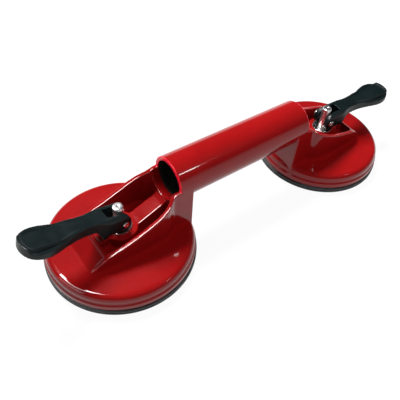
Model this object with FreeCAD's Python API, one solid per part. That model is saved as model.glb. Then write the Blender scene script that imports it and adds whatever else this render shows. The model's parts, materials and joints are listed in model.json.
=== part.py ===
import FreeCAD, Part
import math
import os

from FreeCAD import Placement, Rotation, Vector

# Two-cup vacuum lifter, in millimetres. +X runs along the handle, +Z is up, and the origin is on the plane
# the pads rest on, midway between the cups. Cup a is at -X and cup b at +X.

# Layout
CUP_SPACING = 221.6
CUP_X = CUP_SPACING / 2
LEVER_PITCH = {"a": 16.0, "b": 3.0}     # degrees above flat, as the lifter stands
LEVER_SWIVEL = {"a": 5.5, "b": -2.7}    # degrees about the cup's axis, from straight outward
FACING = {"a": 180.0, "b": 0.0}         # direction of each lever in plan, in degrees
LEVER_TRAVEL = 90.0                     # from locked, flat, to released, upright
FULL_LIFT = 3.5                         # rise of the stem over the whole travel

# Cast body: bells
BELL_WALL = 3.7
BELL_TOP = 18.9
BELL_RADIUS = 58.0
BELL_ROUND = 5.0
BEAD_RADIUS = 59.2
BEAD_BOTTOM = 5.5
BEAD_TOP = 11.0

# Cast body: handle tube and pedestals
TUBE_RADIUS = 18.4
BORE_RADIUS = 15.0
TUBE_Z = 56.9
TUBE_END = 67.0
PEDESTAL_INNER = 55.5
SHELF_END = 73.0

# Cast body: trough walls, as the outer face in plan and the top edge in side view, beyond TUBE_END
WALL = 3.5
WALL_PLAN = [(68, 18.4), (74, 18.8), (78, 21.2), (84, 23.4), (92, 24.3), (110, 24.4), (126, 23.9),
             (138, 22.6), (148, 19.0)]
WALL_TOP = [(68, 56.9), (72, 56.2), (78, 51.6), (84, 48.2), (96, 42.8), (110, 37.5), (126, 33.0), (134, 30.2),
            (141, 24.0), (148, 18.2)]
WELL_FLOOR = 20.0
WELL_FRONT = 132.3
LIP_FRONT = 134.5
LIP_Z = 28.6
RAMP_FOOT = 147.0

# Cast body: central rib and boss
RIB_HALF = 6.8
RIB_TOP = [(SHELF_END, 41.6), (77, 38.6), (96, 30.8), (100, 29.8), (124, 29.6), (WELL_FRONT, 28.0)]
BOSS_RADIUS = 14.0
BOSS_TOP = 30.0
BOSS_BORE = 10.8
BOSS_ROOF = 26.8

# Stem bush and thrust washer
BUSH_SLEEVE = 6.4
BUSH_FLANGE = 10.4
BUSH_FLANGE_T = 1.0
WASHER_RADIUS = 9.5
WASHER_T = 1.2
WASHER_SLACK = 0.4       # radial, round the stem
WASHER_Z = BOSS_TOP + WASHER_T

# Rubber pad, at its released height
PAD_RADIUS = 60.0
PAD_EDGE_T = 5.2
PAD_CENTRE_Z = 1.0
PAD_CENTRE_T = 4.0
PAD_LIPS = [(44, 1.6), (50, 1.6), (51, 0), (53, 0), (53.8, 0.8), (55.4, 0.8), (56.2, 0)]   # (radius, height)

# Steel pieces on the pad
PLATE_RADIUS = 27.0
PLATE_T = 3.0
STUD_RADIUS = 3.0
STUD_HEAD = 8.0
STUD_HEAD_T = 1.5
STUD_LENGTH = 16.0
NUT_FLATS = 10.0
NUT_T = 3.0
STEM_RADIUS = 4.2
THREAD_DEPTH = 11.0
SPRING_MEAN = 9.0
SPRING_WIRE = 1.5
SPRING_TURNS = 4.5

# Lever, about its pin: x outward along the arm, z up
CAM_GAP = 0.25
PIN_Z_LOCKED = 40.3
CAM_LOCKED = PIN_Z_LOCKED - WASHER_Z - CAM_GAP
CAM_RATE = FULL_LIFT / math.radians(LEVER_TRAVEL)   # lift per radian
HUB_HALF = 9.0
HUB_FOOT_HALF = 8.4
HUB_TOP = 9.0
HUB_FRONT = 22.5
SLOT_HALF = 4.7
SLOT_END = 14.2
ARM_HALF = 6.6
ARM_TOP = 8.3
ARM_BOTTOM = -0.2
LEVER_LENGTH = 78.0
SPOON_HALF = 13.2
PLAN_EDGE = 20.0      # well outside the lever on every side
PIN_RADIUS = 2.3
PIN_REACH = 9.2
PIN_HEAD = 2.7
PIN_HEAD_T = 0.9
CAP_RADIUS = 4.4
CAP_T = 1.8
CAP_SEAT = 0.8           # how far the pin goes into its cap
STEM_TOP_ABOVE_PIN = 13.0

# Clearances
RUN = 0.06        # pin and stem running fits, radial
FIT = 0.01        # pressed pieces of one body, radial
SLIP = 0.05       # loose but centred pieces of one body, radial

Z = Vector(0, 0, 1)
Y = Vector(0, 1, 0)
X = Vector(1, 0, 0)


def cylinder(radius, low, high, at=(0, 0)):
    return Part.makeCylinder(radius, high - low, Vector(at[0], at[1], low), Z)


def tube(outer, inner, low, high):
    return cylinder(outer, low, high).cut(cylinder(inner, low - 1, high + 1))


def spline(points, start=None):
    curve = Part.BSplineCurve()
    if start is None:
        curve.interpolate(points)
    else:
        tangents = [Vector(0, 0, 0)] * len(points)
        tangents[0] = start
        flags = [False] * len(points)
        flags[0] = True
        curve.interpolate(Points=points, Tangents=tangents, TangentFlags=flags)
    return curve.toShape()


def lines(points):
    return [Part.makeLine(p, q) for p, q in zip(points, points[1:])]


def prism(edges, direction):
    wire = Part.Wire(Part.__sortEdges__(edges))
    return Part.Face(wire).extrude(direction)


def round_edges(shape, radius, wanted):
    edges = [e for e in shape.Edges if wanted(e)]
    return shape.makeFillet(radius, edges)


def middle(edge):
    return edge.valueAt((edge.FirstParameter + edge.LastParameter) / 2)


# ---------------------------------------------------------------- cast body

def bell():
    """One bell on its own axis: a shallow dished cup, open below, with a bead round its foot."""
    inner = BELL_RADIUS - BELL_WALL
    top = BELL_TOP - BELL_WALL
    s = BELL_ROUND * (1 - math.sqrt(0.5))
    outline = [
        Part.makeLine(Vector(0, 0, top), Vector(0, 0, BELL_TOP)),
        Part.makeLine(Vector(0, 0, BELL_TOP), Vector(BELL_RADIUS - BELL_ROUND, 0, BELL_TOP)),
        Part.Arc(Vector(BELL_RADIUS - BELL_ROUND, 0, BELL_TOP), Vector(BELL_RADIUS - s, 0, BELL_TOP - s),
                 Vector(BELL_RADIUS, 0, BELL_TOP - BELL_ROUND)).toShape(),
    ]
    outline += lines([Vector(BELL_RADIUS, 0, BELL_TOP - BELL_ROUND), Vector(BELL_RADIUS, 0, BEAD_TOP + 0.6),
                      Vector(BEAD_RADIUS - 0.8, 0, BEAD_TOP), Vector(BEAD_RADIUS, 0, BEAD_TOP - 0.8),
                      Vector(BEAD_RADIUS, 0, BEAD_BOTTOM + 0.5), Vector(BEAD_RADIUS - 0.5, 0, BEAD_BOTTOM),
                      Vector(inner, 0, BEAD_BOTTOM), Vector(inner, 0, top - 3), Vector(inner - 3, 0, top),
                      Vector(0, 0, top)])
    return Part.Face(Part.Wire(outline)).revolve(Vector(0, 0, 0), Z, 360)


def bell_hollow():
    """The space under the bell, where the pad and its steel pieces are."""
    inner = BELL_RADIUS - BELL_WALL
    top = BELL_TOP - BELL_WALL
    points = [(0, 0), (inner, 0), (inner, top - 3), (inner - 3, top), (0, top), (0, 0)]
    outline = [Vector(r, 0, z) for r, z in points]
    return Part.Face(Part.Wire(lines(outline))).revolve(Vector(0, 0, 0), Z, 360)


def wall_prism(inset, start_x, end_x, low, high):
    """The plan of the trough's walls as an upright prism, moved inwards by inset, from start_x to end_x."""
    side = [Vector(x, y - inset, low) for x, y in WALL_PLAN]
    first = Vector(min(start_x, side[0].x), side[0].y, low)
    edges = [spline(side, X)]
    edges += lines([side[-1], Vector(side[-1].x, 0, low)])
    edges += lines([Vector(side[-1].x, 0, low), Vector(first.x, 0, low)])
    edges += lines([Vector(first.x, 0, low), first])
    if first.x < side[0].x:
        edges += lines([first, side[0]])
    half = prism(edges, Z * (high - low))
    whole = half.fuse(half.mirror(Vector(0, 0, 0), Y)).removeSplitter()
    window = Part.makeBox(end_x - start_x, 80, high - low, Vector(start_x, -40, low))
    return whole.common(window)


def under_profile(points, floor, half, start=None):
    """Everything under a line in side view, down to floor and half to each side."""
    line = [Vector(x, -half, z) for x, z in points]
    edges = [spline(line, start)] if start is not None else lines(line)
    edges += lines([line[-1], Vector(line[-1].x, -half, floor), Vector(line[0].x, -half, floor), line[0]])
    return prism(edges, Y * (2 * half))


def scoop():
    """Pedestal and trough walls of cup b, before the bell and the tube join them."""
    plan = wall_prism(0, PEDESTAL_INNER, WALL_PLAN[-1][0], BEAD_TOP - 0.5, TUBE_Z)
    side = under_profile(WALL_TOP, BEAD_TOP - 1, 40, X)
    side = side.fuse(Part.makeBox(WALL_TOP[0][0] - PEDESTAL_INNER, 80, TUBE_Z - BEAD_TOP + 1,
                                  Vector(PEDESTAL_INNER, -40, BEAD_TOP - 1))).removeSplitter()
    solid = plan.common(side)
    bell_side = cylinder(BEAD_RADIUS, 0, BELL_TOP, (CUP_X, 0))
    upper = Part.makeBox(200, 200, 100, Vector(0, -100, BELL_TOP))
    return solid.common(bell_side.fuse(upper)).removeSplitter()


def well():
    """The open inside of the trough, from the shelf under the tube's mouth to the front lip."""
    corner = 5.0
    inside = wall_prism(WALL, SHELF_END, WELL_FRONT, WELL_FLOOR, 80)
    front = [e for e in inside.Edges
             if abs(middle(e).x - WELL_FRONT) < 0.01 and abs(e.tangentAt(e.FirstParameter).z) > 0.9]
    return inside.makeFillet(corner, front)


def ramp_panel():
    """The shallow sunk panel in front of the lip, between the ends of the walls."""
    line = [Vector(LIP_FRONT, -40, LIP_Z), Vector(RAMP_FOOT, -40, BELL_TOP), Vector(RAMP_FOOT, -40, 60),
            Vector(LIP_FRONT, -40, 60)]
    cut = prism(lines(line + line[:1]), Y * 80)
    return cut.common(wall_prism(WALL, LIP_FRONT, RAMP_FOOT, BELL_TOP, 60))


def cast_half():
    """The +X half of the casting, from the middle of the handle out."""
    at_cup = Placement(Vector(CUP_X, 0, 0), Rotation())
    cup = bell()
    cup.Placement = at_cup
    hollow = bell_hollow()
    hollow.Placement = at_cup
    shape = cup.fuse(scoop()).cut(hollow)
    shape = shape.fuse(Part.makeCylinder(TUBE_RADIUS, TUBE_END, Vector(0, 0, TUBE_Z), X))
    shape = shape.cut(well())
    shape = shape.cut(ramp_panel())
    shape = shape.fuse(under_profile(RIB_TOP, BELL_TOP - 1, RIB_HALF))
    shape = shape.fuse(cylinder(BOSS_RADIUS, BELL_TOP - 1, BOSS_TOP, (CUP_X, 0)))
    shape = shape.cut(Part.makeCylinder(BORE_RADIUS, SHELF_END + 1, Vector(0, 0, TUBE_Z), X))
    under = BELL_TOP - BELL_WALL
    shape = shape.cut(cylinder(BOSS_BORE, under - 1, BOSS_ROOF, (CUP_X, 0)))
    shape = shape.cut(cylinder(BUSH_SLEEVE + SLIP, BOSS_ROOF - 1, BOSS_TOP + 1, (CUP_X, 0)))
    pocket = Part.makeBox(SHELF_END - PEDESTAL_INNER - 7, 28, 36 - under + 1,
                          Vector(PEDESTAL_INNER + 4, -14, under - 1))
    return shape.cut(pocket).removeSplitter()


def cast_body():
    half = cast_half()
    other = half.mirror(Vector(0, 0, 0), X)
    return half.fuse(other).removeSplitter()


# ---------------------------------------------------------------- pieces of one cup, on the cup's own axis

def stem_lift(pitch):
    return FULL_LIFT * (1 - pitch / LEVER_TRAVEL)


def rubber_pad(lift):
    """Moulded rubber disc: a thick sealing edge, and a web that rises to the steel plate in the middle."""
    under = PAD_CENTRE_Z + lift
    over = under + PAD_CENTRE_T
    roof = BELL_RADIUS - BELL_WALL - 0.4
    recess = STUD_HEAD + SLIP
    edge = 0.7
    points = [(0, under), (PLATE_RADIUS, under)] + PAD_LIPS
    points += [(PAD_RADIUS - edge, 0), (PAD_RADIUS, edge), (PAD_RADIUS, PAD_EDGE_T - edge)]
    points += [(PAD_RADIUS - edge, PAD_EDGE_T), (roof, PAD_EDGE_T), (roof, PAD_EDGE_T + 3)]
    points += [(roof - 1, PAD_EDGE_T + 4), (roof - 5, PAD_EDGE_T + 4), (roof - 9, PAD_EDGE_T + 0.5)]
    points += [(PLATE_RADIUS + 2, over), (recess, over)]
    points += [(recess, over - STUD_HEAD_T), (0, over - STUD_HEAD_T)]
    outline = [Vector(r, 0, z) for r, z in points]
    return Part.Face(Part.Wire(lines(outline + outline[:1]))).revolve(Vector(0, 0, 0), Z, 360)


def pad_plate(low):
    plate = tube(PLATE_RADIUS, STUD_RADIUS + SLIP, low, low + PLATE_T)
    return round_edges(plate, 0.6, lambda e: abs(middle(e).z - low - PLATE_T) < 0.01 and e.Length > 100)


def plate_stud(low):
    head = cylinder(STUD_HEAD, low - STUD_HEAD_T, low)
    shank = cylinder(STUD_RADIUS, low - 0.5, low + STUD_LENGTH)
    tip = shank.makeChamfer(0.5, [e for e in shank.Edges if abs(middle(e).z - low - STUD_LENGTH) < 0.01])
    return head.fuse(tip).removeSplitter()


def jam_nut(low):
    corner = NUT_FLATS / math.sqrt(3)
    corners = [Vector(corner * math.cos(a), corner * math.sin(a), low)
               for a in [math.radians(60 * i) for i in range(7)]]
    hexagon = prism(lines(corners), Z * NUT_T)
    dome = Part.makeCone(corner + 2, corner - 1, NUT_T + 2, Vector(0, 0, low - 1), Z)
    return hexagon.common(dome).cut(cylinder(STUD_RADIUS + SLIP, low - 1, low + NUT_T + 1))


def stem(low, pin_z):
    """Barrel that screws onto the stud, with the pin's cross hole near its top."""
    top = pin_z + STEM_TOP_ABOVE_PIN
    barrel = cylinder(STEM_RADIUS, low, top)
    barrel = barrel.makeChamfer(0.8, [e for e in barrel.Edges if abs(middle(e).z - top) < 0.01])
    barrel = barrel.cut(cylinder(STUD_RADIUS + SLIP, low - 1, low + THREAD_DEPTH))
    return barrel.cut(Part.makeCylinder(PIN_RADIUS + FIT, 2 * PLAN_EDGE, Vector(0, -PLAN_EDGE, pin_z), Y))


def return_spring(low, high):
    """Open-wound compression spring."""
    gap = SPRING_WIRE / 2 + 0.05
    height = high - low - 2 * gap
    path = Part.makeLongHelix(height / SPRING_TURNS, height, SPRING_MEAN)
    section = Part.Wire(Part.makeCircle(SPRING_WIRE / 2, Vector(SPRING_MEAN, 0, 0), Y))
    coil = Part.Wire(path).makePipeShell([section], True, True)
    coil.translate(Vector(0, 0, low + gap))
    return coil


def stem_bush():
    flange_low = BOSS_ROOF - BUSH_FLANGE_T
    flange = cylinder(BUSH_FLANGE, flange_low, BOSS_ROOF)
    sleeve = cylinder(BUSH_SLEEVE, flange_low, BOSS_TOP - 0.2)
    return flange.fuse(sleeve).cut(cylinder(STEM_RADIUS + RUN, 0, WASHER_Z)).removeSplitter()


def thrust_washer():
    washer = tube(WASHER_RADIUS, STEM_RADIUS + WASHER_SLACK, BOSS_TOP, WASHER_Z)
    return round_edges(washer, 0.35, lambda e: e.Length > 55)


def lever_pin(pin_z):
    """Cross pin with a low domed head on its -Y end."""
    end = PIN_REACH + PIN_HEAD_T
    shank = Part.makeCylinder(PIN_RADIUS, 2 * PIN_REACH + CAP_SEAT, Vector(0, -PIN_REACH, pin_z), Y)
    head = Part.makeCylinder(PIN_HEAD, PIN_HEAD_T, Vector(0, -end, pin_z), Y)
    head = head.makeFillet(0.6, [e for e in head.Edges if abs(middle(e).y + end) < 0.01])
    return shank.fuse(head).removeSplitter()


def pin_cap(pin_z):
    """Push-on cap over the pin's +Y end."""
    cap = Part.makeCylinder(CAP_RADIUS, CAP_T, Vector(0, PIN_REACH, pin_z), Y)
    cap = cap.makeFillet(0.8, [e for e in cap.Edges if abs(middle(e).y - PIN_REACH - CAP_T) < 0.01])
    return cap.cut(Part.makeCylinder(PIN_RADIUS + FIT, CAP_SEAT, Vector(0, PIN_REACH, pin_z), Y))


def cam_point(turn, y):
    """Point of the cam that faces the washer when the lever is raised by turn, in radians. The cam's height
    over the flat washer falls evenly with the turn."""
    height = CAM_LOCKED - CAM_RATE * turn
    return Vector(-height * math.sin(turn) + CAM_RATE * math.cos(turn),
                  y,
                  -height * math.cos(turn) - CAM_RATE * math.sin(turn))


def hub_side():
    """The hub in side view: the cam's curve, a hollowed sole, a round toe under the arm, a rounded crown."""
    def at(x, z):
        return Vector(x, -PLAN_EDGE, z)

    cam = [cam_point(math.radians(a), -PLAN_EDGE) for a in range(-4, 97, 10)]
    crown = at(1.5, HUB_TOP - 0.1)
    toe = [at(13.9, -6.1), at(16.0, -9.0), at(18.3, -6.4)]
    nose = Part.Arc(cam[-1], at(-3.7, 4.8), crown).toShape()
    front = [at(HUB_FRONT, ARM_TOP), at(HUB_FRONT + 1.4, ARM_BOTTOM)]
    edges = [spline(cam), nose, Part.Arc(*toe).toShape()]
    edges += lines([crown, at(9.0, HUB_TOP)] + front + toe[-1:])
    edges += lines([toe[0], at(9.5, -6.1), at(5.4, -7.2), cam[0]])
    return prism(edges, Y * (2 * PLAN_EDGE))


def hub_section():
    """The lever across the pin: full width at the pin, narrower at the washer, rounded above."""
    low = -CAM_LOCKED - 1
    edge = 1.2
    right = [(HUB_FOOT_HALF, low), (HUB_FOOT_HALF, -6.5), (HUB_HALF, -4.0), (PLAN_EDGE, -4.0),
             (PLAN_EDGE, HUB_TOP - 3.2), (HUB_HALF, HUB_TOP - 3.2), (HUB_HALF - edge, HUB_TOP - 1.2),
             (HUB_HALF - 2 * edge, HUB_TOP + 1)]
    outline = [Vector(-PLAN_EDGE, y, z) for y, z in right + [(-y, z) for y, z in reversed(right)]]
    return prism(lines(outline + outline[:1]), X * (LEVER_LENGTH + 2 * PLAN_EDGE))


def arm_side():
    """The arm in side view, from inside the hub to past the spoon's end."""
    end = LEVER_LENGTH + 1
    top = [(12, ARM_TOP + 0.4), (26, ARM_TOP - 0.1), (50, ARM_TOP - 0.4), (end, ARM_TOP + 0.3)]
    bottom = [(end, ARM_BOTTOM + 1.6), (50, ARM_BOTTOM + 0.3), (30, ARM_BOTTOM), (12, ARM_BOTTOM - 0.6)]
    top = [Vector(x, -PLAN_EDGE, z) for x, z in top]
    bottom = [Vector(x, -PLAN_EDGE, z) for x, z in bottom]
    edges = [spline(top), spline(bottom)] + lines([top[-1], bottom[0]]) + lines([bottom[-1], top[0]])
    return prism(edges, Y * (2 * PLAN_EDGE))


def lever_plan():
    """The lever from above: straight cheeks, a narrow neck and a rounded spoon."""
    side = [(13, HUB_HALF), (17.5, HUB_HALF - 0.5), (23, ARM_HALF + 0.6), (30, ARM_HALF),
            (40, ARM_HALF + 0.9), (53, SPOON_HALF - 2.3), (65, SPOON_HALF),
            (LEVER_LENGTH - 4, SPOON_HALF - 3.2), (LEVER_LENGTH, 0)]
    outline = [Vector(x, y, -PLAN_EDGE) for x, y in side + [(x, -y) for x, y in reversed(side[:-1])]]
    back = [Vector(-PLAN_EDGE, y, -PLAN_EDGE) for y in (-HUB_HALF, HUB_HALF)]
    return prism([spline(outline, X)] + lines([outline[-1]] + back + [outline[0]]), Z * (2 * PLAN_EDGE))


def lever():
    """The lever about its own pin, lying flat along +X."""
    solid = hub_side().fuse(arm_side()).common(lever_plan()).common(hub_section()).removeSplitter()
    corner = Vector(-PLAN_EDGE, -SLOT_HALF, -PLAN_EDGE)
    slot = Part.makeBox(SLOT_END + PLAN_EDGE, 2 * SLOT_HALF, 2 * PLAN_EDGE, corner)
    hole = Part.makeCylinder(PIN_RADIUS + RUN, 2 * PLAN_EDGE, Vector(0, -PLAN_EDGE, 0), Y)
    return solid.cut(slot).cut(hole)


def cup_pieces(cup):
    """Every separate piece of one cup, where it stands, by name."""
    pitch = LEVER_PITCH[cup]
    lift = stem_lift(pitch)
    plate_low = PAD_CENTRE_Z + PAD_CENTRE_T + lift
    plate_top = plate_low + PLATE_T
    pin_z = PIN_Z_LOCKED - FULL_LIFT + lift
    raised = lever()
    raised.Placement = Placement(Vector(0, 0, pin_z), Rotation(Y, -pitch))
    pieces = {
        "rubber_pad": rubber_pad(lift),
        "pad_plate": pad_plate(plate_low),
        "plate_stud": plate_stud(plate_low),
        "jam_nut": jam_nut(plate_top),
        "stem": stem(plate_top + NUT_T, pin_z),
        "return_spring": return_spring(plate_top, BOSS_ROOF - BUSH_FLANGE_T),
        "stem_bush": stem_bush(),
        "thrust_washer": thrust_washer(),
        "lever": raised,
        "lever_pin": placed(lever_pin(pin_z), Placement(Vector(), Rotation(Z, FACING[cup]))),
        "pin_cap": placed(pin_cap(pin_z), Placement(Vector(), Rotation(Z, FACING[cup]))),
    }
    side = 1 if cup == "b" else -1
    turn = Placement(Vector(side * CUP_X, 0, 0), Rotation(Z, FACING[cup] + LEVER_SWIVEL[cup]))
    return {name: placed(shape, turn) for name, shape in pieces.items()}


def placed(shape, placement):
    moved = shape.copy()
    moved.Placement = placement.multiply(shape.Placement)
    return moved


def main():
    os.makedirs("parts", exist_ok=True)
    nodes = {"cast_body": cast_body()}
    for cup in ("a", "b"):
        for name, shape in cup_pieces(cup).items():
            nodes[f"{name}_{cup}"] = shape
    for name, shape in nodes.items():
        if not shape.isValid():
            print(name, "is not valid")
        shape.exportStep(f"parts/{name}.step")
        print(f"{name}: {len(shape.Solids)} solid, {shape.Volume / 1000:.2f} cm3")


main()
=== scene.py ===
import json
import math

import bmesh
import bpy
import numpy as np
from mathutils import Matrix, Vector


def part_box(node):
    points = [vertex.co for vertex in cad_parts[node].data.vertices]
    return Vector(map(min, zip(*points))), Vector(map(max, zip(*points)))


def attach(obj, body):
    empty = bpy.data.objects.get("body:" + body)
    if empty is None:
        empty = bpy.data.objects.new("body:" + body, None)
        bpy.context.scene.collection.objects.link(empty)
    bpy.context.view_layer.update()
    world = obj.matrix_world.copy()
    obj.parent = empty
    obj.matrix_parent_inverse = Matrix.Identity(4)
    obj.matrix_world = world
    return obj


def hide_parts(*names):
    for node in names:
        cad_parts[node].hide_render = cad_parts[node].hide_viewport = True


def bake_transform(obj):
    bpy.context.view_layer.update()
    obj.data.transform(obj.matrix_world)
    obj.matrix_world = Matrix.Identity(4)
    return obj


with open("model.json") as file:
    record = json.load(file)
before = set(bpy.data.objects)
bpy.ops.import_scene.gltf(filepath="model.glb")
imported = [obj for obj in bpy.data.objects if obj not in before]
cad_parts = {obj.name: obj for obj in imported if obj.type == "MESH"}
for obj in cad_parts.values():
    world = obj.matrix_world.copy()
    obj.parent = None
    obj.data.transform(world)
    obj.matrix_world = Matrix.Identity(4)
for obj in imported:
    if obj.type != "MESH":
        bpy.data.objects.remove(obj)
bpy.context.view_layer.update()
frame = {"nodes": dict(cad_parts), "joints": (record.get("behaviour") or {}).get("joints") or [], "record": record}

NODES = frame["nodes"]
JOINTS = {joint["name"]: joint for joint in frame["joints"]}
SCENE = bpy.context.scene
MM = 0.001

# ---------------------------------------------------------------- camera

CAMERA_AZIMUTH = math.radians(-44.03)
CAMERA_ELEVATION = math.radians(47.64)
CAMERA_ROLL = math.radians(8.33)
CAMERA_DISTANCE = 0.44916
CAMERA_LENS = 44.09
CAMERA_SENSOR = 36.0
CAMERA_SHIFT = (-0.0743, -0.0178)


def make_camera():
    back = Vector((math.sin(CAMERA_AZIMUTH) * math.cos(CAMERA_ELEVATION),
                   -math.cos(CAMERA_AZIMUTH) * math.cos(CAMERA_ELEVATION),
                   math.sin(CAMERA_ELEVATION)))
    right = (-back).cross(Vector((0, 0, 1))).normalized()
    up = right.cross(-back)
    turned_right = right * math.cos(CAMERA_ROLL) + up * math.sin(CAMERA_ROLL)
    turned_up = up * math.cos(CAMERA_ROLL) - right * math.sin(CAMERA_ROLL)
    data = bpy.data.cameras.new("camera")
    data.sensor_width = CAMERA_SENSOR
    data.lens = CAMERA_LENS
    data.shift_x, data.shift_y = CAMERA_SHIFT
    data.clip_start = 0.01
    camera = bpy.data.objects.new("camera", data)
    axes = Matrix((turned_right, turned_up, back)).transposed().to_4x4()
    camera.matrix_world = Matrix.Translation(back * CAMERA_DISTANCE) @ axes
    SCENE.collection.objects.link(camera)
    SCENE.camera = camera
    SCENE.view_settings.view_transform = "Standard"


# ---------------------------------------------------------------- materials

class Shader:
    """A node material with one Principled shader, and short calls for the nodes that vary it."""

    def __init__(self, name, color, roughness, metallic=0.0, ior=1.5, coat=0.0, coat_roughness=0.03):
        self.material = bpy.data.materials.new(name)
        self.material.use_nodes = True
        self.tree = self.material.node_tree
        self.bsdf = self.tree.nodes["Principled BSDF"]
        self.bsdf.inputs["Base Color"].default_value = (*color, 1)
        self.bsdf.inputs["Roughness"].default_value = roughness
        self.bsdf.inputs["Metallic"].default_value = metallic
        self.bsdf.inputs["IOR"].default_value = ior
        self.bsdf.inputs["Coat Weight"].default_value = coat
        self.bsdf.inputs["Coat Roughness"].default_value = coat_roughness
        self.place = self.tree.nodes.new("ShaderNodeTexCoord").outputs["Object"]
        self.normal = None

    def link(self, source, target):
        self.tree.links.new(source, target)

    def stretched(self, scale):
        node = self.tree.nodes.new("ShaderNodeMapping")
        node.inputs["Scale"].default_value = scale
        self.link(self.place, node.inputs["Vector"])
        return node.outputs["Vector"]

    def noise(self, size, detail=3.0, rough=0.5, stretch=None):
        """Noise whose features are about size metres across."""
        node = self.tree.nodes.new("ShaderNodeTexNoise")
        node.inputs["Scale"].default_value = 1 / size
        node.inputs["Detail"].default_value = detail
        node.inputs["Roughness"].default_value = rough
        self.link(self.stretched(stretch) if stretch else self.place, node.inputs["Vector"])
        return node.outputs["Fac"]

    def attribute(self, name):
        node = self.tree.nodes.new("ShaderNodeAttribute")
        node.attribute_name = name
        return node.outputs["Fac"]

    def ranged(self, source, low, high, from_low=0.3, from_high=0.7):
        node = self.tree.nodes.new("ShaderNodeMapRange")
        node.inputs["From Min"].default_value = from_low
        node.inputs["From Max"].default_value = from_high
        node.inputs["To Min"].default_value = low
        node.inputs["To Max"].default_value = high
        self.link(source, node.inputs["Value"])
        return node.outputs["Result"]

    def mixed(self, factor, first, second):
        """A colour between two, each a colour or another node's output."""
        node = self.tree.nodes.new("ShaderNodeMix")
        node.data_type = "RGBA"
        self.link(factor, node.inputs[0])
        for value, index in ((first, 6), (second, 7)):
            if isinstance(value, tuple):
                node.inputs[index].default_value = (*value, 1)
            else:
                self.link(value, node.inputs[index])
        return node.outputs[2]

    def color(self, source):
        self.link(source, self.bsdf.inputs["Base Color"])

    def roughness(self, source):
        self.link(source, self.bsdf.inputs["Roughness"])

    def bump(self, source, height):
        """Relief of height metres, added to any bump already there."""
        node = self.tree.nodes.new("ShaderNodeBump")
        node.inputs["Strength"].default_value = 1.0
        node.inputs["Distance"].default_value = height
        self.link(source, node.inputs["Height"])
        if self.normal:
            self.link(self.normal, node.inputs["Normal"])
        self.normal = node.outputs["Normal"]
        self.link(self.normal, self.bsdf.inputs["Normal"])
        if self.bsdf.inputs["Coat Weight"].default_value > 0:
            self.link(self.normal, self.bsdf.inputs["Coat Normal"])


def red_paint():
    """Thick gloss enamel on a casting: orange peel, pooled colour, outside corners lighter partly where the paint
    thins and partly as a painted highlight, a painted highlight on the end faces at the tube's mouths, dull
    creases, and painted shade that darkens the bore to near black."""
    s = Shader("red_paint", (0.15, 0.002, 0.002), 0.2, ior=1.15, coat=0.5, coat_roughness=0.04)
    pooled = s.mixed(s.ranged(s.noise(0.03, 2), 0, 1), (0.145, 0.0022, 0.0026), (0.170, 0.0028, 0.0032))
    # Outside corners get a lighter red: partly where the paint thins over them, partly a painted highlight along
    # the ridges.
    thinned_and_highlit = s.mixed(s.ranged(s.attribute("edge"), 0, 1, 0.25, 1.0), pooled, (0.25, 0.009, 0.011))
    # Painted highlight: the end faces at the tube's mouths are coloured bright pink-red, as if light fell on them.
    painted = s.mixed(s.attribute("mouth_highlight"), thinned_and_highlit, (0.80, 0.014, 0.035))
    # Painted shade: the bore gets a near-black colour for the shade inside the tube, though it is the same red
    # paint.
    bore_shade_color = s.mixed(s.ranged(s.noise(0.004, 4), 0, 1), (0.010, 0.010, 0.009), (0.020, 0.020, 0.018))
    s.color(s.mixed(s.attribute("bore"), painted, bore_shade_color))
    s.roughness(s.ranged(s.noise(0.012, 4), 0.10, 0.18))
    matt = s.ranged(s.attribute("matt"), 0.5, 0.0, 0, 1)
    s.link(matt, s.bsdf.inputs["Coat Weight"])
    s.link(matt, s.bsdf.inputs["Specular IOR Level"])
    s.bump(s.noise(0.016, 1), 0.00004)
    s.bump(s.noise(0.0021, 1), 0.000006)
    return s.material


def black_rubber():
    """Moulded rubber with a fine bloom and dust."""
    s = Shader("black_rubber", (0.010, 0.010, 0.011), 0.6, ior=1.4)
    s.color(s.mixed(s.ranged(s.noise(0.009, 5, 0.6), 0, 1), (0.007, 0.008, 0.009), (0.018, 0.019, 0.021)))
    s.roughness(s.ranged(s.noise(0.005, 4), 0.42, 0.66))
    s.bump(s.noise(0.0009, 3), 0.00004)
    return s.material


def black_plastic():
    """Glass-filled nylon: satin, fine grain, and paler scuffs on the edges."""
    s = Shader("black_plastic", (0.003, 0.006, 0.007), 0.4, ior=1.3)
    base = s.mixed(s.ranged(s.noise(0.014, 4), 0, 1), (0.0012, 0.0034, 0.0038), (0.0024, 0.0054, 0.0060))
    s.color(s.mixed(s.ranged(s.attribute("edge"), 0, 0.7, 0.35, 1.0), base, (0.007, 0.012, 0.0125)))
    s.roughness(s.ranged(s.noise(0.006, 5, 0.65), 0.30, 0.46))
    s.bump(s.noise(0.0011, 4, 0.6), 0.000022)
    s.bump(s.noise(0.011, 2), 0.00010)
    return s.material


def metal(name, light, dark, rough, grain, height, stretch=None):
    """Metal with a mottled tone and a fine grain."""
    s = Shader(name, light, rough[0], metallic=1.0)
    s.color(s.mixed(s.ranged(s.noise(grain * 6, 4), 0, 1), dark, light))
    s.roughness(s.ranged(s.noise(grain * 2, 4, stretch=stretch), *rough))
    s.bump(s.noise(grain, 3, stretch=stretch), height)
    return s.material


def bush_plastic():
    """Natural acetal, slightly translucent, with grease marks."""
    s = Shader("bush_plastic", (0.72, 0.71, 0.66), 0.45)
    s.color(s.mixed(s.ranged(s.noise(0.006, 4), 0, 1), (0.62, 0.60, 0.53), (0.78, 0.77, 0.72)))
    s.roughness(s.ranged(s.noise(0.003, 3), 0.35, 0.55))
    s.bump(s.noise(0.0008, 3), 0.00001)
    return s.material


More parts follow.
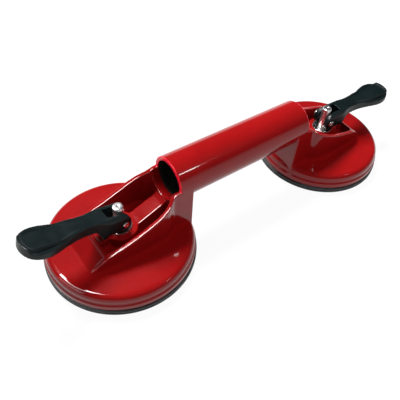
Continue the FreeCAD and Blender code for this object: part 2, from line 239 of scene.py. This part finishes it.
def floor_material():
    """A pale table that gives off light itself, so that shadows on it stay faint."""
    s = Shader("floor", (0.06, 0.06, 0.06), 0.9)
    s.color(s.mixed(s.ranged(s.noise(0.2, 3), 0, 1), (0.059, 0.059, 0.06), (0.061, 0.061, 0.061)))
    s.bsdf.inputs["Emission Color"].default_value = (1, 1, 1, 1)
    s.bsdf.inputs["Emission Strength"].default_value = 0.92
    s.bsdf.inputs["Specular IOR Level"].default_value = 0
    return s.material


MATERIALS = {
    "red_paint": red_paint(),
    "black_rubber": black_rubber(),
    "black_plastic": black_plastic(),
    "chromed_steel": metal("chromed_steel", (0.92, 0.92, 0.92), (0.84, 0.84, 0.85), (0.24, 0.36),
                           0.0011, 0.000004, (1, 1, 0.2)),
    "bright_steel": metal("bright_steel", (0.82, 0.82, 0.81), (0.70, 0.70, 0.69), (0.16, 0.32),
                          0.0008, 0.000008),
    "zinc_steel": metal("zinc_steel", (0.62, 0.65, 0.68), (0.48, 0.50, 0.52), (0.30, 0.45),
                        0.0016, 0.00001),
    "spring_steel": metal("spring_steel", (0.40, 0.40, 0.41), (0.26, 0.26, 0.27), (0.25, 0.42),
                          0.0009, 0.000008),
    "bush_plastic": bush_plastic(),
}


def dress(obj, slot):
    """Gives a CAD node or a piece the material of a slot."""
    obj.data.materials.clear()
    obj.data.materials.append(MATERIALS[slot])


# ---------------------------------------------------------------- mesh helpers

def new_object(name, mesh, slot, body, *replaced):
    obj = bpy.data.objects.new(name, mesh)
    SCENE.collection.objects.link(obj)
    dress(obj, slot)
    if replaced:
        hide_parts(*replaced)
    if body:
        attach(obj, body)
    return obj


def apply_modifiers(obj):
    depsgraph = bpy.context.evaluated_depsgraph_get()
    mesh = bpy.data.meshes.new_from_object(obj.evaluated_get(depsgraph))
    obj.modifiers.clear()
    old = obj.data
    obj.data = mesh
    bpy.data.meshes.remove(old)


def above(value, start, width):
    """0 up to start, and 1 from width further on."""
    return np.clip((value - start) / width, 0, 1)


def below(value, end, width):
    """1 until width before end, and 0 from end on."""
    return np.clip((end - value) / width, 0, 1)


def near(value, centre, reach):
    """1 at the centre, falling to 0 at reach from it."""
    return np.clip(1 - np.abs(value - centre) / reach, 0, 1)


def eased(t):
    return t * t * (3 - 2 * t)


def places(mesh):
    co = np.zeros(len(mesh.vertices) * 3)
    mesh.vertices.foreach_get("co", co)
    return co.reshape(-1, 3)


def set_places(mesh, co):
    mesh.vertices.foreach_set("co", co.reshape(-1))
    mesh.update()


def normals(mesh):
    no = np.zeros(len(mesh.vertices) * 3)
    mesh.vertex_normals.foreach_get("vector", no)
    return no.reshape(-1, 3)


def relaxed(co, edges, counts, weight, passes, pull=0.5, push=0.45):
    """Places after smoothing, where weight says how much each vertex may move at each pass. Every second
    pass pushes back by push, so that thin walls don't shrink."""
    for step in range(passes):
        total = np.zeros_like(co)
        for axis in range(3):
            total[:, axis] = np.bincount(edges[:, 0], co[edges[:, 1], axis], len(co))
            total[:, axis] += np.bincount(edges[:, 1], co[edges[:, 0], axis], len(co))
        delta = total / counts[:, None] - co
        share = pull if step % 2 == 0 or push == 0 else -push
        co = co + delta * weight[:, None] * share
    return co


def add_attribute(mesh, name, values):
    attribute = mesh.attributes.new(name, "FLOAT", "POINT")
    attribute.data.foreach_set("value", values.astype(np.float32))


# A corner that the smoothing moves this far in counts as fully an edge
EDGE_MOVE = 0.35 * MM
# Inside corners move less: how much their share is raised, and how far it spreads
CREASE_GAIN = 3
CREASE_PASSES = 12


def moulded(node, name, voxel, passes, weight_of=None, extra_passes=0):
    """A closed copy of a CAD node with its corners rounded, as a mould leaves them. Its edge and matt
    attributes say how much each point is an outside corner, or lies near an inside one."""
    mesh = NODES[node].data.copy()
    mesh.name = name
    obj = bpy.data.objects.new(name, mesh)
    SCENE.collection.objects.link(obj)
    weld = obj.modifiers.new("weld", "WELD")
    weld.merge_threshold = 1e-6
    remesh = obj.modifiers.new("remesh", "REMESH")
    remesh.mode = "VOXEL"
    remesh.voxel_size = voxel
    apply_modifiers(obj)
    mesh = obj.data
    edges = np.zeros(len(mesh.edges) * 2, int)
    mesh.edges.foreach_get("vertices", edges)
    edges = edges.reshape(-1, 2)
    counts = np.maximum(np.bincount(edges.reshape(-1), minlength=len(mesh.vertices)), 1)
    before = places(mesh)
    out = normals(mesh)
    after = relaxed(before, edges, counts, np.ones(len(before)), passes)
    if weight_of:
        after = relaxed(after, edges, counts, weight_of(before), extra_passes, push=0)
    outward = np.einsum("ij,ij->i", after - before, out) / EDGE_MOVE
    set_places(mesh, after)
    add_attribute(mesh, "edge", np.clip(-outward, 0, 1))
    crease = np.clip(outward * CREASE_GAIN, 0, 1)[:, None] * np.ones(3)
    crease = relaxed(crease, edges, counts, np.ones(len(before)), CREASE_PASSES, push=0)
    add_attribute(mesh, "matt", np.clip(crease[:, 0] * CREASE_GAIN, 0, 1))
    mesh.shade_smooth()
    return obj


def rounded(points, radius, steps=4):
    """The outline with each corner rounded. A point may give its own radius as a third number."""
    result = [Vector(points[0][:2])]
    for before, corner, after in zip(points, points[1:], points[2:]):
        r = corner[2] if len(corner) > 2 else radius
        corner = Vector(corner[:2])
        first = Vector(before[:2]) - corner
        second = Vector(after[:2]) - corner
        reach = min(r, first.length * 0.45, second.length * 0.45)
        if reach <= 0:
            result.append(corner)
            continue
        start = corner + first.normalized() * reach
        end = corner + second.normalized() * reach
        for i in range(steps + 1):
            t = i / steps
            result.append(start * (1 - t) ** 2 + corner * 2 * t * (1 - t) + end * t ** 2)
    result.append(Vector(points[-1][:2]))
    return result


ON_AXIS = 1e-6


def lathe(name, outline, segments, matrix):
    """A solid of revolution. The outline is (radius, height) in millimetres, from axis to axis or closed."""
    mesh = bpy.data.meshes.new(name)
    bm = bmesh.new()
    rings = []
    for r, z in outline:
        if r < ON_AXIS:
            rings.append([bm.verts.new((0, 0, z * MM))])
            continue
        angles = [2 * math.pi * i / segments for i in range(segments)]
        spots = [(r * MM * math.cos(a), r * MM * math.sin(a), z * MM) for a in angles]
        rings.append([bm.verts.new(spot) for spot in spots])
    for low, high in zip(rings, rings[1:]):
        for i in range(segments):
            j = (i + 1) % segments
            corners = [low[i % len(low)], low[j % len(low)], high[j % len(high)], high[i % len(high)]]
            unique = list(dict.fromkeys(corners))
            if len(unique) > 2:
                bm.faces.new(unique)
    bmesh.ops.remove_doubles(bm, verts=bm.verts, dist=1e-7)
    bmesh.ops.recalc_face_normals(bm, faces=bm.faces)
    bm.to_mesh(mesh)
    bm.free()
    mesh.transform(matrix)
    mesh.shade_smooth()
    return mesh


# ---------------------------------------------------------------- casting

CUP_X = JOINTS["swivel_b"]["pos_m"][0]
TUBE_Z = 0.0569
# The tube's end faces, which get a painted highlight, and where the painted shade of its bore stops
FACE_X = 0.0669
FACE_OUTER = 0.0188
DARK_X = 0.0667
DARK_RADIUS = 0.0157
PAINT_FADE = 0.0006
# The inside corner where the troughs stand on the bells
FOOT_Z = 0.0195
FOOT_REACH = 0.0045
FOOT_OUTER = 0.0535
RAMP_X = 0.138
RAMP_HALF = 0.0215
CASTING_VOXEL = 0.0005
CASTING_PASSES = 8
FOOT_PASSES = 170


def foot_weight(co):
    """How much each point of the casting takes part in the extra smoothing: the inside corner where the
    troughs stand on the bells, but not the ramp under the lever."""
    height = near(co[:, 2], FOOT_Z, FOOT_REACH)
    from_axis = np.hypot(np.abs(co[:, 0]) - CUP_X, co[:, 1])
    on_bell = below(from_axis, FOOT_OUTER, 0.003)
    ramp = above(np.abs(co[:, 0]), RAMP_X, 0.004) * below(np.abs(co[:, 1]), RAMP_HALF, 0.002)
    return height * on_bell * (1 - ramp)


def make_casting():
    obj = moulded("cast_body", "painted_casting", CASTING_VOXEL, CASTING_PASSES, foot_weight, FOOT_PASSES)
    co = places(obj.data)
    along = np.abs(co[:, 0])
    from_tube_axis = np.hypot(co[:, 1], co[:, 2] - TUBE_Z)
    # The bore mask, where the painted shade inside the tube goes.
    bore = below(from_tube_axis, DARK_RADIUS, PAINT_FADE) * below(along, DARK_X, PAINT_FADE)
    add_attribute(obj.data, "bore", bore)
    # Where the end faces at the tube's mouths get their painted highlight.
    facing_out = np.clip(np.abs(normals(obj.data)[:, 0]) * 3 - 0.7, 0, 1)
    mouth_highlight = near(along, FACE_X, PAINT_FADE * 2) * (1 - bore) * facing_out
    mouth_highlight *= below(from_tube_axis, FACE_OUTER, 0.0004)
    add_attribute(obj.data, "mouth_highlight", np.clip(mouth_highlight * 2, 0, 1))
    matt = np.zeros(len(co))
    obj.data.attributes["matt"].data.foreach_get("value", matt)
    obj.data.attributes["matt"].data.foreach_set("value", np.maximum(matt, bore).astype(np.float32))
    dress(obj, "red_paint")
    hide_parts("cast_body")
    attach(obj, "casting")


# ---------------------------------------------------------------- levers

LEVER_VOXEL = 0.00042
LEVER_PASSES = 6
# Millimetres from the pin along the lever
HANDLE_START = 26
DISH_START = 33
HOLLOW_START = 27
HOLLOW_END = 73.5
# Millimetres from the handle's outline, and depths in millimetres
DISH_RIM = 1.2
DISH_DEPTH = 0.9
HOLLOW_RIM = 1.8
HOLLOW_DEPTH = 1.6
RIM_SAMPLES = 500


def from_rim(x, y, facing):
    """How far inside the handle's outline each point lies, from a sample of the points on its sides."""
    side = np.flatnonzero((np.abs(facing) < 0.25) & (x > HANDLE_START))
    rim = np.column_stack((x, y))[side[::max(1, len(side) // RIM_SAMPLES)]]
    inside = np.zeros(len(x))
    for i in np.flatnonzero(x > HANDLE_START):
        inside[i] = np.sqrt(((rim - (x[i], y[i])) ** 2).sum(1).min())
    return inside


def make_lever(cup):
    """The cam lever, with a shallow dish for the thumb above its handle and a deeper hollow below."""
    obj = moulded(f"lever_{cup}", f"cam_lever_{cup}", LEVER_VOXEL, LEVER_PASSES)
    joint = JOINTS[f"lever_turn_{cup}"]
    pitch = math.radians(-joint["range_deg"][0])
    axis = Vector(joint["axis"])
    plan = Vector((-axis.y, axis.x, 0))
    along = plan * math.cos(pitch) + Vector((0, 0, math.sin(pitch)))
    up = Vector((0, 0, math.cos(pitch))) - plan * math.sin(pitch)
    co = places(obj.data)
    out = normals(obj.data)
    local = co - np.array(joint["pos_m"])
    x = local @ np.array(along) / MM
    y = local @ np.array(axis) / MM
    facing = out @ np.array(up)
    inside = from_rim(x, y, facing)
    dish = eased(above(inside, DISH_RIM, 2.4) * above(x, DISH_START, 14)) * above(facing, 0.6, 0.3)
    hollow = above(inside, HOLLOW_RIM, 1.2) * above(x, HOLLOW_START, 4) * below(x, HOLLOW_END, 4)
    hollow = eased(hollow) * above(-facing, 0.6, 0.3)
    lift = (hollow * HOLLOW_DEPTH - dish * DISH_DEPTH) * MM
    set_places(obj.data, co + lift[:, None] * np.array(up))
    dress(obj, "black_plastic")
    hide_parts(f"lever_{cup}")
    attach(obj, f"lever_{cup}")


# ---------------------------------------------------------------- pads and metal pieces

PAD_SEGMENTS = 160
# Millimetres: how thick the pad is under the plate, and where its web starts and meets the outer rim
PAD_MIDDLE = 4.0
WEB_START = 27
WEB_REACH = 17
WEB_END_Z = 1.6


def make_pad(cup):
    """The rubber pad: two sealing lips and shallow rings below, a square edge, and a web up to the plate."""
    x = JOINTS[f"swivel_{cup}"]["pos_m"][0]
    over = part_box(f"pad_plate_{cup}")[0].z / MM
    under = over - PAD_MIDDLE
    points = [(0, under), (24, under)]
    for ring in range(3):
        r = 28 + ring * 5.0
        z = under + (WEB_END_Z - under) * (r - WEB_START) / WEB_REACH
        points += [(r, z + 0.1), (r + 1.2, z + 0.1), (r + 1.7, z + 0.7), (r + 2.9, z + 0.6)]
    lips = [(44.5, WEB_END_Z), (50, WEB_END_Z), (51, 0.0, 0.3), (53, 0.0, 0.3), (53.8, 0.8), (55.4, 0.8),
            (56.2, 0.0, 0.3), (59.3, 0.0, 0.5)]
    edge = [(60.0, 0.7, 0.5), (60.0, 2.1), (59.55, 2.35), (59.55, 2.85), (60.0, 3.1), (60.0, 4.5, 0.5),
            (59.3, 5.2, 0.5)]
    top = [(53.9, 5.2, 0.2), (53.9, 8.2), (52.9, 9.2), (48.9, 9.2), (44.9, 5.7), (29, over), (0, over)]
    outline = rounded(points + lips + edge + top, 0.35, 3)
    mesh = lathe(f"pad_{cup}", outline, PAD_SEGMENTS, Matrix.Translation((x, 0, 0)))
    obj = new_object(f"sealing_pad_{cup}", mesh, "black_rubber", None, f"rubber_pad_{cup}")
    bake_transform(obj)
    co = places(obj.data)


def make_spring(cup):
    """The coil spring: a copy of the CAD node's mesh, in spring steel."""
    mesh = NODES[f"return_spring_{cup}"].data.copy()
    obj = new_object(f"coil_spring_{cup}", mesh, "spring_steel", None, f"return_spring_{cup}")
    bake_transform(obj)


def make_washer(cup):
    """The washer. Its outline starts in the middle of the underside, so that each corner is rounded."""
    low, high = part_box(f"thrust_washer_{cup}")
    x = JOINTS[f"swivel_{cup}"]["pos_m"][0]
    bottom, top = low.z / MM, high.z / MM
    points = [(7, bottom), (9.5, bottom), (9.5, top), (4.6, top), (4.6, bottom), (7, bottom)]
    outline = rounded(points, 0.3)
    mesh = lathe(f"washer_{cup}", outline, 96, Matrix.Translation((x, 0, 0)))
    new_object(f"steel_washer_{cup}", mesh, "bright_steel", "casting", f"thrust_washer_{cup}")


# Millimetres: the stem, and the hole in its lower end for the stud
STEM_RADIUS = 4.2
STEM_BORE = 3.1
STEM_BORE_DEPTH = 11


def make_stem(cup):
    """The screwed barrel with its chamfered crown and a shallow turned centre."""
    low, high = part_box(f"stem_{cup}")
    x = JOINTS[f"swivel_{cup}"]["pos_m"][0]
    bottom, top = low.z / MM, high.z / MM
    points = [(0, bottom + STEM_BORE_DEPTH), (STEM_BORE, bottom + STEM_BORE_DEPTH), (STEM_BORE, bottom, 0.1),
              (STEM_RADIUS, bottom, 0.15), (STEM_RADIUS, top - 0.9, 0.4), (STEM_RADIUS - 0.8, top, 0.35),
              (1.3, top, 0.25), (0.7, top - 0.45, 0.2), (0, top - 0.45)]
    mesh = lathe(f"stem_{cup}", rounded(points, 0.2), 96, Matrix.Translation((x, 0, 0)))
    new_object(f"lift_stem_{cup}", mesh, "chromed_steel", f"stem_{cup}", f"stem_{cup}")


def along_pin(cup):
    """From a lathe's own frame to the pin's: its height runs along the pin, from the middle of the lever out
    towards the cap, which is on the +Y side."""
    joint = JOINTS[f"lever_turn_{cup}"]
    axis = Vector(joint["axis"]) * math.copysign(1, joint["axis"][1])
    turn = Vector((0, 0, 1)).rotation_difference(axis).to_matrix().to_4x4()
    return Matrix.Translation(joint["pos_m"]) @ turn


def make_pin(cup):
    """The cross pin, with a low head that has a shallow centre."""
    points = [(0, -9.95), (1.0, -9.95, 0.3), (1.2, -10.1, 0.2), (2.2, -10.1, 0.5), (2.7, -9.7, 0.3),
              (2.7, -9.2, 0.1), (2.3, -9.2, 0.1), (2.3, 9.9, 0.3), (0, 9.9)]
    mesh = lathe(f"pin_{cup}", rounded(points, 0.2), 64, along_pin(cup))
    new_object(f"cross_pin_{cup}", mesh, "bright_steel", f"stem_{cup}", f"lever_pin_{cup}")


def make_cap(cup):
    """The push-on cap, a shallow dome with a rim, at the pin's other end."""
    points = [(0, 10.0), (2.25, 10.0), (2.25, 9.2, 0.1), (4.4, 9.2, 0.2), (4.4, 10.3, 0.6), (3.3, 11.0, 0.5),
              (1.6, 11.0, 0.3), (1.2, 10.8, 0.2), (0, 10.8)]
    mesh = lathe(f"cap_{cup}", rounded(points, 0.2), 64, along_pin(cup))
    new_object(f"push_cap_{cup}", mesh, "bright_steel", f"stem_{cup}", f"pin_cap_{cup}")


# ---------------------------------------------------------------- studio

# Brightness of the studio's walls, from the floor's level up: (sine of the elevation, level)
WALLS = [(0.06, 1.0), (0.22, 0.07)]

# A panel that hangs level over the left side. It is seen only in reflections.
PANEL = ("panel", (-0.45, 0.335, 0.90), None, (0.50, 0.37), 39)
# Lights that face the object: (name, direction, distance in metres, size in metres, power in watts)
LAMPS = [
    ("left", (-0.93, 0.10, 0.45), 1.2, (0.6, 0.4), 2.5),
    ("lamp_front", (0.37, -0.60, 0.68), 1.6, (0.09, 0.03), 1.5),
    ("key", (0.05, 0.55, 0.84), 1.3, (0.50, 0.50), 50),
    ("fill", (0.15, -0.45, 0.88), 1.3, (0.90, 0.90), 11),
]
# Lamps that light the object but aren't mirrored in its paint
NOT_MIRRORED = ("key", "fill")
FLOOR_HALF = 3.0
# Just under the pads, so that the two surfaces don't coincide
FLOOR_Z = -0.0002


def area_light(name, place, away, size, power):
    data = bpy.data.lights.new(name, "AREA")
    data.shape = "RECTANGLE"
    data.size, data.size_y = size
    data.energy = power
    light = bpy.data.objects.new(name, data)
    turn = away.to_track_quat("Z", "Y").to_matrix().to_4x4() if away else Matrix()
    light.matrix_world = Matrix.Translation(place) @ turn
    SCENE.collection.objects.link(light)
    return light


def make_studio():
    mesh = bpy.data.meshes.new("floor")
    bm = bmesh.new()
    bmesh.ops.create_grid(bm, x_segments=1, y_segments=1, size=FLOOR_HALF)
    bm.to_mesh(mesh)
    bm.free()
    floor = bpy.data.objects.new("floor", mesh)
    floor.location.z = FLOOR_Z
    SCENE.collection.objects.link(floor)
    mesh.materials.append(floor_material())
    world = bpy.data.worlds.new("studio")
    world.use_nodes = True
    tree = world.node_tree
    place = tree.nodes.new("ShaderNodeTexCoord")
    split = tree.nodes.new("ShaderNodeSeparateXYZ")
    ramp = tree.nodes.new("ShaderNodeValToRGB")
    for element, (position, level) in zip(ramp.color_ramp.elements, WALLS):
        element.position = position
        element.color = (level, level, level, 1)
    tree.links.new(place.outputs["Generated"], split.inputs[0])
    tree.links.new(split.outputs["Z"], ramp.inputs[0])
    tree.links.new(ramp.outputs[0], tree.nodes["Background"].inputs["Color"])
    SCENE.world = world
    area_light(*PANEL).visible_diffuse = False
    for name, direction, distance, size, power in LAMPS:
        away = Vector(direction).normalized()
        light = area_light(name, away * distance, away, size, power)
        light.visible_glossy = name not in NOT_MIRRORED


# ---------------------------------------------------------------- build

for subpart in frame["record"]["subparts"]:
    dress(NODES[subpart["node"]], subpart["material_slot"])

make_casting()
for cup_name in ("a", "b"):
    make_lever(cup_name)
    make_pad(cup_name)
    make_spring(cup_name)
    make_washer(cup_name)
    make_stem(cup_name)
    make_pin(cup_name)
    make_cap(cup_name)
make_studio()
make_camera()
